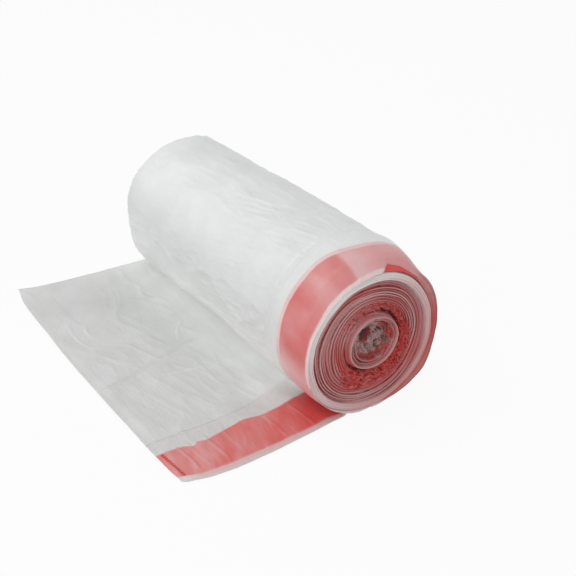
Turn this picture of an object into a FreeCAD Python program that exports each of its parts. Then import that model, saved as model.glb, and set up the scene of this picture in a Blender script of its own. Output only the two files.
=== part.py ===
import FreeCAD, Part
import math
import os

# A roll of drawstring bags lying on its side, with the first bag run out on the floor.
# X runs along the roll towards the bag mouths, the first bag runs out towards -Y, Z is up.
# All lengths are in millimetres. Sections of the roll are drawn at full size and shrunk
# towards the line where the roll touches the floor.

SIZES = {
    # Roll
    "roll_length": 250.0,
    "roll_radius": 57.0,
    "flat_spot_half": 10.0,
    "back_radius": 49.6,
    "body_step": 2.0,
    "body_lift": 1.0,
    "full_to": 106.0,
    "shoulder_at": 118.0,
    "shoulder_scale": 0.972,
    "rim_scale": 0.915,
    # Film and tape of the first bag
    "film_wall": 0.45,
    "tape_thick": 0.6,
    "tape_gap": 0.05,
    "tape_inner_x": 89.0,
    "tape_outer_x": 119.0,
    "tape_end_y": 141.0,
    "tape_stop_deg": 22.0,
    "pocket_stop_deg": 21.0,
    "body_film_thick": 1.2,
    "hem_seal_x": 80.0,
    # First bag lying on the floor
    "tail_free_y": 144.6,
    "tail_mid_y": 143.0,
    "tail_back_x": 144.0,
    "tail_back_y": 135.0,
    "tail_waist_x": 131.0,
    "tail_front_x": 122.0,
    "hem_bow_x": 129.0,
    "hem_bow_y": 104.0,
    "hem_foot_x": 120.0,
    "tail_root_y": 4.0,
    # Loose first wrap
    "loose_from_x": 84.0,
    "loose_gap": 4.5,
    "loose_top_deg": 50.0,
    "loose_mid_deg": -15.0,
    "loose_foot_deg": -74.0,
    # Wound turns
    "wind_shift": 3.0,
    "wind_sag": 4.25,
    "wind_margin": 8.75,
    "wind_core": 14.65,
    "wind_turns": 8.0,
    "steps_per_turn": 36.0,
    "wound_tape_thick": 1.8,
    "wound_gap": 0.1,
    "wound_tape_recess": 2.5,
    # Turns at the plain end
    "groove_width": 1.0,
    "groove_depth": 4.0,
    "groove_margin": 4.6,
    "groove_core": 9.8,
    "groove_turns": 5.5,
    # Hole through the middle
    "hole_radius": 5.5,
    "hole_shift_y": 7.0,
    "hole_rise": 2.0,
    # Thumb notch in the mouth of the first bag
    "notch_radius": 17.0,
    "notch_reach": 13.0,
    "notch_deg": 62.0,
}


def make_sheet(doc, sizes):
    """Write the driving sizes into a spreadsheet, each with its own name."""
    sheet = doc.addObject("Spreadsheet::Sheet", "Sizes")
    for row, (name, value) in enumerate(sizes.items(), start=1):
        sheet.set(f"A{row}", name)
        sheet.set(f"B{row}", str(value))
        sheet.setAlias(f"B{row}", name)
    doc.recompute()
    return sheet


def scale_at(s, x):
    """Scale of the hem end's section at x: full at first, then a rounded shoulder."""
    half = s.roll_length / 2
    stations = [
        (s.full_to, 1.0),
        (s.shoulder_at, s.shoulder_scale),
        (half, s.rim_scale),
    ]
    if x <= s.full_to:
        return 1.0
    for (x0, f0), (x1, f1) in zip(stations, stations[1:]):
        if x <= x1 or x1 == half:
            return f0 + (f1 - f0) * (x - x0) / (x1 - x0)


def span(s, start, stop):
    """The x values from start to stop where sections are needed."""
    inner = [x for x in (s.full_to, s.shoulder_at) if start < x < stop]
    return [start] + inner + [stop]


def place(point, x, factor):
    """A section point (y, z) put into space at x and shrunk towards the floor line."""
    return FreeCAD.Vector(x, point[0] * factor, point[1] * factor)


def section_wire(edges, x, factor):
    """Closed wire from edges given as lists of two (line) or three (arc) section points."""
    shapes = []
    for edge in edges:
        points = [place(p, x, factor) for p in edge]
        if len(points) == 3:
            shapes.append(Part.Arc(*points).toShape())
        else:
            shapes.append(Part.makeLine(*points))
    return Part.Wire(shapes)


def loft(doc, name, s, edges, start, stop):
    """Ruled solid through the same section, drawn at each station from start to stop."""
    sections = []
    for number, x in enumerate(span(s, start, stop), start=1):
        part = doc.addObject("Part::Feature", f"{name}Section{number}")
        part.Shape = section_wire(edges, x, scale_at(s, x))
        sections.append(part)
    solid = doc.addObject("Part::Loft", name)
    solid.Sections = sections
    solid.Solid = True
    solid.Ruled = True
    return solid


def prism(doc, name, points, start, length):
    """Straight solid along X from a polygon at start, as long as the formula says."""
    outline = doc.addObject("Part::Feature", f"{name}Outline")
    outline.Shape = Part.makePolygon([place(p, start, 1.0) for p in points + points[:1]])
    solid = doc.addObject("Part::Extrusion", name)
    solid.Base = outline
    solid.Dir = FreeCAD.Vector(1, 0, 0)
    solid.Solid = True
    bind(solid, "LengthFwd", length)
    return solid


def on_circle(centre, radius, degrees):
    """Point of a circle, with the angle counted from +Y towards +Z."""
    angle = math.radians(degrees)
    return (centre[0] + radius * math.cos(angle), centre[1] + radius * math.sin(angle))


def wrap_circles(s):
    """Centre and radius of the outer wrap on its rising side and on its falling side."""
    rise = (0.0, math.sqrt(s.roll_radius**2 - s.flat_spot_half**2))
    top = rise[1] + s.roll_radius
    fall_radius = s.roll_radius - hem_thick(s) / 2
    fall = (0.0, top - fall_radius)
    return rise, s.roll_radius, fall, fall_radius


def hem_thick(s):
    """Thickness of the first bag where its hem holds the tape."""
    return 2 * (s.film_wall + s.tape_gap) + s.tape_thick


def roll_edges(s):
    """Outline of the wound roll, standing on its flat spot."""
    rise, r0, fall, r1 = wrap_circles(s)
    thick = hem_thick(s)
    foot = math.sqrt(r1**2 - (fall[1] - thick) ** 2)
    top = (0.0, rise[1] + r0)
    return [
        [(-foot, 0.0), (s.flat_spot_half, 0.0)],
        [(s.flat_spot_half, 0.0), on_circle(rise, r0, 0), top],
        [top, on_circle(fall, r1, 180), (-foot, thick)],
        [(-foot, thick), (-foot, 0.0)],
    ]


def strip_edges(s, depth, thick, end_y, stop_deg):
    """Outline of a strip that runs along the floor and once round the roll."""
    rise, r0, fall, r1 = wrap_circles(s)
    stop = 270.0 - stop_deg
    middle = (90.0 + stop) / 2
    outer = depth
    inner = depth + thick
    foot_out = math.sqrt((r0 - outer) ** 2 - (rise[1] - outer) ** 2)
    foot_in = math.sqrt((r0 - inner) ** 2 - (rise[1] - inner) ** 2)
    top_out = (0.0, rise[1] + r0 - outer)
    top_in = (0.0, rise[1] + r0 - inner)
    end_out = on_circle(fall, r1 - outer, stop)
    end_in = on_circle(fall, r1 - inner, stop)
    return [
        [(-end_y, outer), (foot_out, outer)],
        [(foot_out, outer), on_circle(rise, r0 - outer, 0), top_out],
        [top_out, on_circle(fall, r1 - outer, middle), end_out],
        [end_out, end_in],
        [end_in, on_circle(fall, r1 - inner, middle), top_in],
        [top_in, on_circle(rise, r0 - inner, 0), (foot_in, inner)],
        [(foot_in, inner), (-end_y, inner)],
        [(-end_y, inner), (-end_y, outer)],
    ]


def spiral_points(s, radius, core, turns, thick, short=0):
    """Outline of an even spiral band, wound inwards from the bottom up its +Y side.

    The band runs from its outer radius to the core's, and stops the given number of
    steps short at either end.
    """
    centre = (-s.wind_shift, s.roll_radius - s.wind_sag)
    pitch = (radius - core) / turns
    outer, inner = [], []
    for step in range(short, int(turns * s.steps_per_turn) + 1 - short):
        turned = step / s.steps_per_turn
        angle = 360.0 * turned - 90.0
        reach = radius - pitch * turned
        outer.append(on_circle(centre, reach, angle))
        inner.append(on_circle(centre, reach - thick, angle))
    return outer + inner[::-1]


def loose_edges(s):
    """Crescent of air between the loose first wrap and the wound turns."""
    rise, r0, _, _ = wrap_circles(s)
    radius = r0 - hem_thick(s)
    top = on_circle(rise, radius, s.loose_top_deg)
    foot = on_circle(rise, radius, s.loose_foot_deg)
    middle = on_circle(rise, radius - s.loose_gap, s.loose_mid_deg)
    outside = on_circle(rise, radius, s.loose_mid_deg)
    return [[top, middle, foot], [foot, outside, top]]


def wound_points(s, trim):
    """Spiral of the wound tapes, or of the room for them where trim is zero."""
    thick = s.wound_tape_thick + 2 * (s.wound_gap - trim)
    short = 1 if trim else 0
    radius = s.roll_radius - s.wind_margin - trim
    return spiral_points(s, radius, s.wind_core - trim, s.wind_turns, thick, short)


def tail_wire(s):
    """Outline of the first bag on the floor, seen from above, as a chain of soft curves."""
    back_corner = (-s.tail_back_x, -s.tail_back_y)
    middle = (-s.tail_back_x / 2, -s.tail_mid_y)
    front_corner = (s.tail_front_x, -s.tail_free_y)
    bow = (s.hem_bow_x, -s.hem_bow_y)
    back_foot = (-s.roll_length / 2, s.tail_root_y)
    hem_foot = (s.hem_foot_x, s.tail_root_y)
    chain = [
        [back_foot, (-s.tail_waist_x, -s.tail_back_y / 2), back_corner],
        [back_corner, ((back_corner[0] + middle[0]) / 2, -s.tail_mid_y), middle],
        [middle, (0.0, -s.tail_mid_y), front_corner],
        [front_corner, (s.hem_bow_x, (bow[1] + front_corner[1]) / 2), bow],
        [bow, (s.hem_bow_x, bow[1] / 2), hem_foot],
    ]
    edges = []
    for points in chain:
        curve = Part.BezierCurve()
        curve.setPoles([FreeCAD.Vector(x, y, 0) for x, y in points])
        edges.append(curve.toShape())
    edges.append(Part.makeLine(FreeCAD.Vector(*hem_foot, 0), FreeCAD.Vector(*back_foot, 0)))
    return Part.Wire(edges)


def bind(target, prop, formula):
    """Tie a size of an object to the sheet."""
    target.setExpression(prop, formula)


def cut(doc, name, base, tools):
    """Base with all the tools taken away."""
    joined = doc.addObject("Part::MultiFuse", f"{name}Tools")
    joined.Shapes = tools
    result = doc.addObject("Part::Cut", name)
    result.Base = base
    result.Tool = joined
    return result


def build_tail(doc, s):
    """First bag on the floor: a sheet as thick as the hem, thinned over the bag's body."""
    outline = doc.addObject("Part::Feature", "TailOutline")
    outline.Shape = tail_wire(s)
    sheet = doc.addObject("Part::Extrusion", "TailSheet")
    sheet.Base = outline
    sheet.Dir = FreeCAD.Vector(0, 0, 1)
    sheet.Solid = True
    bind(sheet, "LengthFwd", "2 * (Sizes.film_wall + Sizes.tape_gap) + Sizes.tape_thick")
    thinning = doc.addObject("Part::Box", "TailThinning")
    bind(thinning, "Length", "Sizes.hem_seal_x + 2 * Sizes.tail_back_x")
    bind(thinning, "Width", "3 * Sizes.tail_free_y")
    bind(thinning, "Height", "Sizes.roll_radius")
    bind(thinning, "Placement.Base.x", "-2 * Sizes.tail_back_x")
    bind(thinning, "Placement.Base.y", "-2 * Sizes.tail_free_y")
    bind(thinning, "Placement.Base.z", "Sizes.body_film_thick")
    tail = doc.addObject("Part::Cut", "Tail")
    tail.Base = sheet
    tail.Tool = thinning
    return tail


def build_hole(doc):
    """Small hole left in the middle by the winding spindle."""
    hole = doc.addObject("Part::Cylinder", "MiddleHole")
    bind(hole, "Radius", "Sizes.hole_radius")
    bind(hole, "Height", "Sizes.roll_length * 2")
    hole.Placement.Rotation = FreeCAD.Rotation(FreeCAD.Vector(0, 1, 0), 90)
    bind(hole, "Placement.Base.x", "-Sizes.roll_length")
    bind(hole, "Placement.Base.y", "-Sizes.hole_shift_y")
    bind(hole, "Placement.Base.z", "Sizes.roll_radius + Sizes.hole_rise")
    return hole


def build_notch(doc, s):
    """Thumb notch that bares the tape of the first bag at the top of the rim."""
    rise, r0, _, _ = wrap_circles(s)
    factor = scale_at(s, s.tape_outer_x)
    depth = (r0 - hem_thick(s)) * factor
    centre = (rise[0] * factor, rise[1] * factor)
    foot = on_circle(centre, depth, s.notch_deg)
    notch = doc.addObject("Part::Cylinder", "ThumbNotch")
    bind(notch, "Radius", "Sizes.notch_radius")
    bind(notch, "Height", "Sizes.roll_radius / 2")
    turn = FreeCAD.Rotation(FreeCAD.Vector(1, 0, 0), s.notch_deg - 90)
    x = s.roll_length / 2 - s.notch_reach + s.notch_radius
    notch.Placement = FreeCAD.Placement(FreeCAD.Vector(x, *foot), turn)
    return notch


def build_body(doc):
    """Body of the roll: a cone that lies along its lowest line, pressed into the first bag."""
    taper = "(Sizes.roll_radius - Sizes.body_step - Sizes.back_radius)"
    slope = f"{taper} / (Sizes.hem_seal_x + Sizes.roll_length / 2)"
    tilt = f"atan(2 * {slope}) / 2"
    far = f"(Sizes.back_radius / ({slope}) - Sizes.roll_length / 4)"
    cone = doc.addObject("Part::Cone", "BodyCone")
    bind(cone, "Radius1", f"{far} * tan({tilt})")
    bind(cone, "Height", "Sizes.roll_length * 1.5")
    bind(cone, "Radius2", f"({far} + Sizes.roll_length * 1.5) * tan({tilt})")
    bind(cone, "Placement.Rotation.Angle", f"90deg - {tilt}")
    cone.Placement.Rotation = FreeCAD.Rotation(FreeCAD.Vector(0, 1, 0), 90)
    tip = f"(-Sizes.roll_length / 2 - Sizes.back_radius / ({slope}))"
    bind(cone, "Placement.Base.x", f"{tip} + {far} * cos({tilt})")
    bind(cone, "Placement.Base.z", f"{far} * sin({tilt}) + Sizes.body_lift")
    room = doc.addObject("Part::Box", "BodyRoom")
    bind(room, "Length", "Sizes.roll_length / 2 + Sizes.hem_seal_x")
    bind(room, "Width", "4 * Sizes.roll_radius")
    bind(room, "Height", "3 * Sizes.roll_radius")
    bind(room, "Placement.Base.x", "-Sizes.roll_length / 2")
    bind(room, "Placement.Base.y", "-2 * Sizes.roll_radius")
    body = doc.addObject("Part::MultiCommon", "RollBody")
    body.Shapes = [cone, room]
    return body


def build_web(doc, s):
    """All the film: the wound turns and the first bag, as one piece."""
    half = s.roll_length / 2
    past = 2.0
    hem_end = loft(doc, "HemEnd", s, roll_edges(s), s.hem_seal_x, half)
    film = doc.addObject("Part::MultiFuse", "Film")
    film.Shapes = [build_body(doc), hem_end, build_tail(doc, s)]
    pocket_thick = s.tape_thick + 2 * s.tape_gap
    pocket_end = s.tape_end_y + s.tape_gap
    pocket = strip_edges(s, s.film_wall, pocket_thick, pocket_end, s.pocket_stop_deg)
    groove_radius = s.back_radius - s.groove_margin
    groove = spiral_points(s, groove_radius, s.groove_core, s.groove_turns, s.groove_width)
    room_end = "Sizes.roll_length / 2 - Sizes.tape_inner_x + 4 * Sizes.wound_gap"
    tools = [
        loft(doc, "LoosePart", s, loose_edges(s), s.loose_from_x, half + past),
        loft(doc, "TapePocket", s, pocket, s.tape_inner_x - s.tape_gap, s.tape_outer_x + s.tape_gap),
        prism(doc, "WoundRoom", wound_points(s, 0.0), s.tape_inner_x - s.wound_gap, room_end),
        prism(doc, "PlainEndGroove", groove, -half - past, f"Sizes.groove_depth + {past}"),
        build_hole(doc),
        build_notch(doc, s),
    ]
    web = cut(doc, "BagWeb", film, tools)
    web.Refine = True
    return web


def build_lead_tape(doc, s):
    """Draw tape in the hem of the first bag."""
    edges = strip_edges(s, s.film_wall + s.tape_gap, s.tape_thick, s.tape_end_y, s.tape_stop_deg)
    return loft(doc, "LeadTape", s, edges, s.tape_inner_x, s.tape_outer_x)


def build_wound_tapes(doc, s):
    """Draw tapes of the wound bags, pressed together into one spiral."""
    length = "Sizes.roll_length / 2 - Sizes.wound_tape_recess - Sizes.tape_inner_x"
    return prism(doc, "WoundTapes", wound_points(s, s.wound_gap), s.tape_inner_x, length)


def name_node(doc, source, label, s):
    """Finished sub-part, moved so that the whole stands centred on the origin."""
    shift_x = (s.tail_back_x - s.hem_bow_x) / 2
    shift_y = (s.tail_free_y - s.roll_radius) / 2
    node = doc.addObject("Part::Compound", f"Node_{source.Name}")
    node.Links = [source]
    node.Label = label
    node.Placement = FreeCAD.Placement(FreeCAD.Vector(shift_x, shift_y, 0), FreeCAD.Rotation())
    return node


def check(doc, nodes):
    """Stop if any object failed or a sub-part is empty or broken."""
    for item in doc.Objects:
        if "Invalid" in item.State or "Error" in item.State:
            raise RuntimeError(f"{item.Name} is {item.State}")
    for node in nodes:
        shape = node.Shape
        if shape.isNull() or not shape.isValid() or len(shape.Solids) != 1:
            raise RuntimeError(f"{node.Label} has {len(shape.Solids)} solids or is not valid")


def main():
    doc = FreeCAD.newDocument("BagRoll")
    sheet = make_sheet(doc, SIZES)
    sources = [
        (build_web(doc, sheet), "bag_web"),
        (build_lead_tape(doc, sheet), "lead_bag_tape"),
        (build_wound_tapes(doc, sheet), "wound_tapes"),
    ]
    nodes = [name_node(doc, source, label, sheet) for source, label in sources]
    doc.recompute()
    check(doc, nodes)
    os.makedirs("parts", exist_ok=True)
    for node in nodes:
        node.Shape.Solids[0].exportStep(f"parts/{node.Label}.step")
        box = node.Shape.optimalBoundingBox(False)
        volume = node.Shape.Volume / 1000
        print(f"{node.Label}: {volume:.1f} cm3, x {box.XMin:.1f} to {box.XMax:.1f},",
              f"y {box.YMin:.1f} to {box.YMax:.1f}, z {box.ZMin:.1f} to {box.ZMax:.1f}")


main()
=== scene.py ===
"""A roll of drawstring bags on its side, with its first bag run out on the floor."""

import logging
from collections.abc import Callable
from dataclasses import dataclass, field
from enum import Enum

import bpy
import numpy as np
from bpy.types import Material, Node, NodeSocket, NodeTree, Object
from mathutils import Matrix, Vector


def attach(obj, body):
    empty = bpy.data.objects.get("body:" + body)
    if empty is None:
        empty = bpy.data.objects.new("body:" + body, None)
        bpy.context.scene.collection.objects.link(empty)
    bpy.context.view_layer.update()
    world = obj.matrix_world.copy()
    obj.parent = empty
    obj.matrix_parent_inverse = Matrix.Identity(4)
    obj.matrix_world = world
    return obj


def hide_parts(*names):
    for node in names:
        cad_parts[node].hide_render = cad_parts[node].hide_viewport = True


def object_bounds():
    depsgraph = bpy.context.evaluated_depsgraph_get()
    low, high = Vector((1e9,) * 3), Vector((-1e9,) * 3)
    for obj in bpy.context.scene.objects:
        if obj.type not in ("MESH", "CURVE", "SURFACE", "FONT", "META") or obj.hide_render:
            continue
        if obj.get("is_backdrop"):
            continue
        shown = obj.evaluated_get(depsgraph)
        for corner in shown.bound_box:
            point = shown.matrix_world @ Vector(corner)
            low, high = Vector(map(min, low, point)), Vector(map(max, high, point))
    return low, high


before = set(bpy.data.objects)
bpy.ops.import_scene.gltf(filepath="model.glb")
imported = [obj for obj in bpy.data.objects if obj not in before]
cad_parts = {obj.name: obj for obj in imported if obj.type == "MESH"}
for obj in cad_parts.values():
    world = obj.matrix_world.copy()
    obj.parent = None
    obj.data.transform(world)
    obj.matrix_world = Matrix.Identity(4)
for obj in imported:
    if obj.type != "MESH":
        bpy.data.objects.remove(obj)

LOG = logging.getLogger("bag_roll")
MM = 0.001
# Rows of numbers that a line, an edge or a list of folds is drawn from
Knots = tuple[tuple[float, ...], ...]

# Where the line under the roll's axis, halfway along it, lies in the frame, in mm
ROLL_PLACE = np.array([7.5, 43.8, 0.0])


class End(Enum):
    """The two ends of the roll, by what the bags have there."""

    MOUTH = "mouth"
    PLAIN = "plain"


# Centre of each end face, as y and z from the roll's place, in mm
CENTRES = {End.MOUTH: (-3.0, 52.6), End.PLAIN: (0.0, 49.8)}


@dataclass(frozen=True)
class Noise:
    """Smooth noise on a lattice of seeded random values."""

    seed: int

    def value(self, x: np.ndarray, y: np.ndarray, period: int = 256) -> np.ndarray:
        """Random values at whole numbers, joined by smooth steps in both directions.

        Args:
            x: First coordinate, one lattice step a unit.
            y: Second coordinate, which repeats after period units.
            period: Lattice steps after which the second coordinate repeats.

        Returns:
            Values from 0 to 1.
        """
        table = np.random.default_rng(self.seed).random((256, period))
        xi, yi = np.floor(x).astype(int), np.floor(y).astype(int)
        fx, fy = x - xi, y - yi
        fx, fy = fx * fx * (3 - 2 * fx), fy * fy * (3 - 2 * fy)
        x0, x1 = xi % 256, (xi + 1) % 256
        y0, y1 = yi % period, (yi + 1) % period
        low = table[x0, y0] * (1 - fx) + table[x1, y0] * fx
        high = table[x0, y1] * (1 - fx) + table[x1, y1] * fx
        return low * (1 - fy) + high * fy

    def octaves(
        self,
        place: tuple[np.ndarray, np.ndarray],
        count: int,
        period: int,
        shape: Callable[[np.ndarray], np.ndarray],
        fade: float,
    ) -> np.ndarray:
        """Weighted mean of shaped noise, each layer twice as fine as the one before.

        Args:
            place: Both coordinates.
            count: Number of layers.
            period: Lattice steps after which the second coordinate repeats in the first layer.
            shape: What the values of each layer are turned into.
            fade: What the weight is divided by from one layer to the next.

        Returns:
            The mean of the layers.
        """
        total, weight = 0.0, 0.0
        for k in range(count):
            values = Noise(self.seed + k).value(place[0] * 2**k, place[1] * 2**k, period * 2**k)
            total = total + shape(values) / fade**k
            weight += 1 / fade**k
        return total / weight

    def layers(self, x: np.ndarray, y: np.ndarray, count: int, period: int = 256) -> np.ndarray:
        """Smooth noise from about -1 to 1, each layer half as strong as the one before."""
        return self.octaves((x, y), count, period, lambda part: 2 * part - 1, 2.0)

    def creases(self, x: np.ndarray, y: np.ndarray, count: int, period: int = 256) -> np.ndarray:
        """Ridges up to 1 where a layer crosses its middle: one minus the distance from it, squared."""
        return self.octaves((x, y), count, period, lambda part: (1 - np.abs(2 * part - 1)) ** 2, 1.7)


def step(low: float, high: float, value: np.ndarray) -> np.ndarray:
    """Smooth step: 0 below low, 1 above high, and three t squared minus two t cubed between.

    Args:
        low: Where the step starts.
        high: Where the step ends.
        value: The numbers to step.

    Returns:
        Values from 0 to 1.
    """
    t = np.clip((value - low) / (high - low), 0.0, 1.0)
    return t * t * (3 - 2 * t)


def fall(low: float, high: float, value: np.ndarray) -> np.ndarray:
    """Smooth step down: 1 below low and 0 above high."""
    return 1 - step(low, high, value)


def bell(value: np.ndarray, centre: float, width: float) -> np.ndarray:
    """Bell curve: e to the minus square of the distance from the centre over the width.

    Args:
        value: The numbers to weigh.
        centre: Where the bell stands.
        width: Its half width.

    Returns:
        Values from 0 to 1.
    """
    return np.exp(-(((value - centre) / width) ** 2))


def mixed(low: np.ndarray, high: np.ndarray, share: np.ndarray) -> np.ndarray:
    """Straight mix of two fields: low where the share is 0, high where it is 1."""
    return low * (1 - share) + high * share


def blend(fields: tuple, others: tuple, share: np.ndarray) -> tuple:
    """Mix each of some fields with its fellow in the others, by one share."""
    return tuple(mixed(low, high, share) for low, high in zip(fields, others))


def linear(code: str) -> tuple[float, float, float, float]:
    """Turn an sRGB hex colour to linear.

    Args:
        code: Six hex digits.

    Returns:
        Red, green, blue and an alpha of one.
    """
    parts = [int(code[k : k + 2], 16) / 255 for k in (0, 2, 4)]
    red, green, blue = (c / 12.92 if c <= 0.04045 else ((c + 0.055) / 1.055) ** 2.4 for c in parts)
    return red, green, blue, 1.0


@dataclass
class Surface:
    """Grid of points in mm, each with a share of red, a share of the deep colour (painted shade, and the weld
    marks' own dark) and a level of painted light and shade (1 is even).
    """

    points: np.ndarray
    tape: np.ndarray
    gloom: np.ndarray
    tone: np.ndarray | None = None
    ring: bool = False
    pole: bool = False
    turned: bool = False

    def build(self, name: str) -> Object:
        """Mesh of the grid: each cell becomes a four-sided face, a pole a fan of triangles.

        Args:
            name: Name of the piece.

        Returns:
            The new object, with smooth faces.
        """
        tone = np.ones_like(self.tape) if self.tone is None else self.tone
        points, fields = self.points, {"tape": self.tape, "gloom": self.gloom, "tone": tone / 2}
        if self.turned:
            points = points[:, ::-1]
            fields = {key: values[:, ::-1] for key, values in fields.items()}
        rows, columns = points.shape[:2]
        index = np.arange(rows * columns).reshape(rows, columns)
        right = np.roll(index, -1, axis=1) if self.ring else index[:, 1:]
        left = index if self.ring else index[:, :-1]
        loops = np.stack([left[:-1], left[1:], right[1:], right[:-1]], axis=-1).reshape(-1)
        sizes = np.full(len(loops) // 4, 4)
        flat = points.reshape(-1, 3)
        if self.pole:
            fan = [np.full(columns, len(flat)), index[0], np.roll(index[0], -1)]
            loops = np.concatenate([loops, np.stack(fan, axis=-1).reshape(-1)])
            sizes = np.concatenate([sizes, np.full(columns, 3)])
            flat = np.vstack([flat, flat[:columns].mean(axis=0, keepdims=True)])
        starts = np.cumsum(sizes) - sizes
        mesh = bpy.data.meshes.new(name)
        mesh.vertices.add(len(flat))
        mesh.vertices.foreach_set("co", ((flat + ROLL_PLACE) * MM).astype(np.float32).reshape(-1))
        mesh.loops.add(len(loops))
        mesh.loops.foreach_set("vertex_index", loops.astype(np.int32))
        mesh.polygons.add(len(starts))
        mesh.polygons.foreach_set("loop_start", starts.astype(np.int32))
        mesh.polygons.foreach_set("loop_total", sizes.astype(np.int32))
        mesh.polygons.foreach_set("use_smooth", np.ones(len(starts), dtype=bool))
        for key, values in fields.items():
            data = np.clip(values, 0.0, 1.0).astype(np.float32).reshape(-1)
            if self.pole:
                data = np.append(data, data[:columns].mean()).astype(np.float32)
            mesh.attributes.new(key, "FLOAT", "POINT").data.foreach_set("value", data)
        mesh.update(calc_edges=True)
        mesh.validate()
        piece = bpy.data.objects.new(name, mesh)
        bpy.context.collection.objects.link(piece)
        return piece


def add_node(tree: NodeTree, kind: str, settings: dict, links: dict) -> Node:
    """Add one node with its settings and its links.

    Args:
        tree: The material's node tree.
        kind: Blender's name for the kind of node.
        settings: Properties by name, and values of inputs by name or number.
        links: Output sockets by the name or number of the input they feed.

    Returns:
        The new node.
    """
    node = tree.nodes.new(kind)
    for key, value in settings.items():
        if isinstance(key, str) and hasattr(node, key):
            setattr(node, key, value)
        else:
            node.inputs[key].default_value = value
    for key, socket in links.items():
        tree.links.new(socket, node.inputs[key])
    return node


def add_math(tree: NodeTree, operation: str, *inputs: float | NodeSocket, **settings: bool) -> NodeSocket:
    """Add one math node.

    Args:
        tree: The node tree.
        operation: Blender's name for what the node does.
        inputs: Numbers, or sockets that feed the inputs, in order.
        settings: Other properties of the node, by name.

    Returns:
        The socket of the result.
    """
    numbers = {k: item for k, item in enumerate(inputs) if isinstance(item, float)}
    links = {k: item for k, item in enumerate(inputs) if k not in numbers}
    node = add_node(tree, "ShaderNodeMath", {"operation": operation, **settings, **numbers}, links)
    return node.outputs[0]


def add_ramp(tree: NodeTree, share: NodeSocket, stops: dict[float, str]) -> NodeSocket:
    """Add one ramp of colours.

    Args:
        tree: The node tree.
        share: Socket of the number that picks the colour.
        stops: Hex colours by their places from 0 to 1, in order.

    Returns:
        The socket of the colour.
    """
    node = add_node(tree, "ShaderNodeValToRGB", {}, {"Fac": share})
    elements = node.color_ramp.elements
    first, *between, last = stops
    for element, place in ((elements[0], first), (elements[1], last)):
        element.position, element.color = place, linear(stops[place])
    for place in between:
        elements.new(place).color = linear(stops[place])
    return node.outputs["Color"]


@dataclass(frozen=True)
class FilmFinish:
    """Blown polyethylene film, with the red tape showing through where it lies underneath.

    The film is milky and softly glossy, and fine creases break its highlights. The
    piece's own attributes say how much red shows (tape), how much of the deep colour goes in
    (gloom: painted shade in gaps, folds and hollows, and the weld marks' own dark) and how
    much painted light and shade lighten or darken the white (halved).
    """

    name: str
    clear: str = "E9EBEA"
    cloudy: str = "E1E3E2"
    veiled: str = "DDA0A0"
    strong: str = "CB5B58"
    bare: str = "DA3530"
    # The colour that the gloom mixes in: painted shade, and the weld marks' own dark
    deep: str = "5E1513"
    roughness: float = 0.36
    # Milky patches are about 26 mm across, and creases of blown film 2 to 4 mm apart
    patch_mm: float = 26.0
    crease_mm: float = 2.4
    crease_depth: float = 0.3

    def colour(self, tree: NodeTree, place: NodeSocket) -> NodeSocket:
        """White times the painted light and shade, mixed with a ramp of reds by the tape, and with the deep
        colour by the gloom, which is painted shade and the weld marks' own dark.

        Args:
            tree: The material's node tree.
            place: Socket of the object coordinates.

        Returns:
            The socket of the colour.
        """
        tape, gloom, tone = (
            add_node(tree, "ShaderNodeAttribute", {"attribute_name": key}, {}).outputs["Fac"]
            for key in ("tape", "gloom", "tone")
        )
        patches = {"Scale": 1 / (self.patch_mm * MM), "Detail": 3.0, "Roughness": 0.5}
        milk = add_node(tree, "ShaderNodeTexNoise", patches, {"Vector": place}).outputs["Fac"]
        links = {
            0: add_ramp(tree, milk, {0.3: self.cloudy, 0.7: self.clear}),
            "Scale": add_math(tree, "MULTIPLY", tone, 2.0),
        }
        white = add_node(tree, "ShaderNodeVectorMath", {"operation": "SCALE"}, links).outputs[0]
        # Where the film clings to the tape the red is stronger than where it bridges it
        cling = add_math(tree, "MULTIPLY_ADD", milk, 0.36, -0.18)
        strength = add_math(tree, "MULTIPLY_ADD", cling, tape, tape)
        stops = {0.0: self.clear, 0.35: self.veiled, 0.68: self.strong, 1.0: self.bare}
        red = add_ramp(tree, strength, stops)
        tinted = add_math(tree, "MULTIPLY", tape, 6.0, use_clamp=True)
        film = add_node(tree, "ShaderNodeMix", {"data_type": "RGBA"}, {0: tinted, 6: white, 7: red})
        deep = {"data_type": "RGBA", 7: linear(self.deep)}
        return add_node(tree, "ShaderNodeMix", deep, {0: gloom, 6: film.outputs[2]}).outputs[2]

    def build(self) -> Material:
        """Make the material.

        Returns:
            The finished material.
        """
        material = bpy.data.materials.new(self.name)
        material.use_nodes = True
        tree = material.node_tree
        tree.nodes.clear()
        place = add_node(tree, "ShaderNodeTexCoord", {}, {}).outputs["Object"]
        # Creases run a few times longer along the roll than across it, leaning a little
        lean = {"Rotation": (0.0, 0.0, 0.45), "Scale": (0.3, 1.0, 1.0)}
        drawn = add_node(tree, "ShaderNodeMapping", lean, {"Vector": place}).outputs[0]
        creases = {"Scale": 1 / (self.crease_mm * MM), "Detail": 5.0, "Roughness": 0.6, "Distortion": 0.7}
        fine = add_node(tree, "ShaderNodeTexNoise", creases, {"Vector": drawn}).outputs["Fac"]
        depth = {"Strength": self.crease_depth, "Distance": 1.0 * MM}
        links = {
            "Base Color": self.colour(tree, place),
            "Roughness": add_math(tree, "MULTIPLY_ADD", fine, 0.24, self.roughness - 0.12),
            "Normal": add_node(tree, "ShaderNodeBump", depth, {"Height": fine}).outputs["Normal"],
        }
        shader = add_node(tree, "ShaderNodeBsdfPrincipled", {"IOR": 1.51}, links)
        add_node(tree, "ShaderNodeOutputMaterial", {}, {"Surface": shader.outputs["BSDF"]})
        return material


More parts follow.
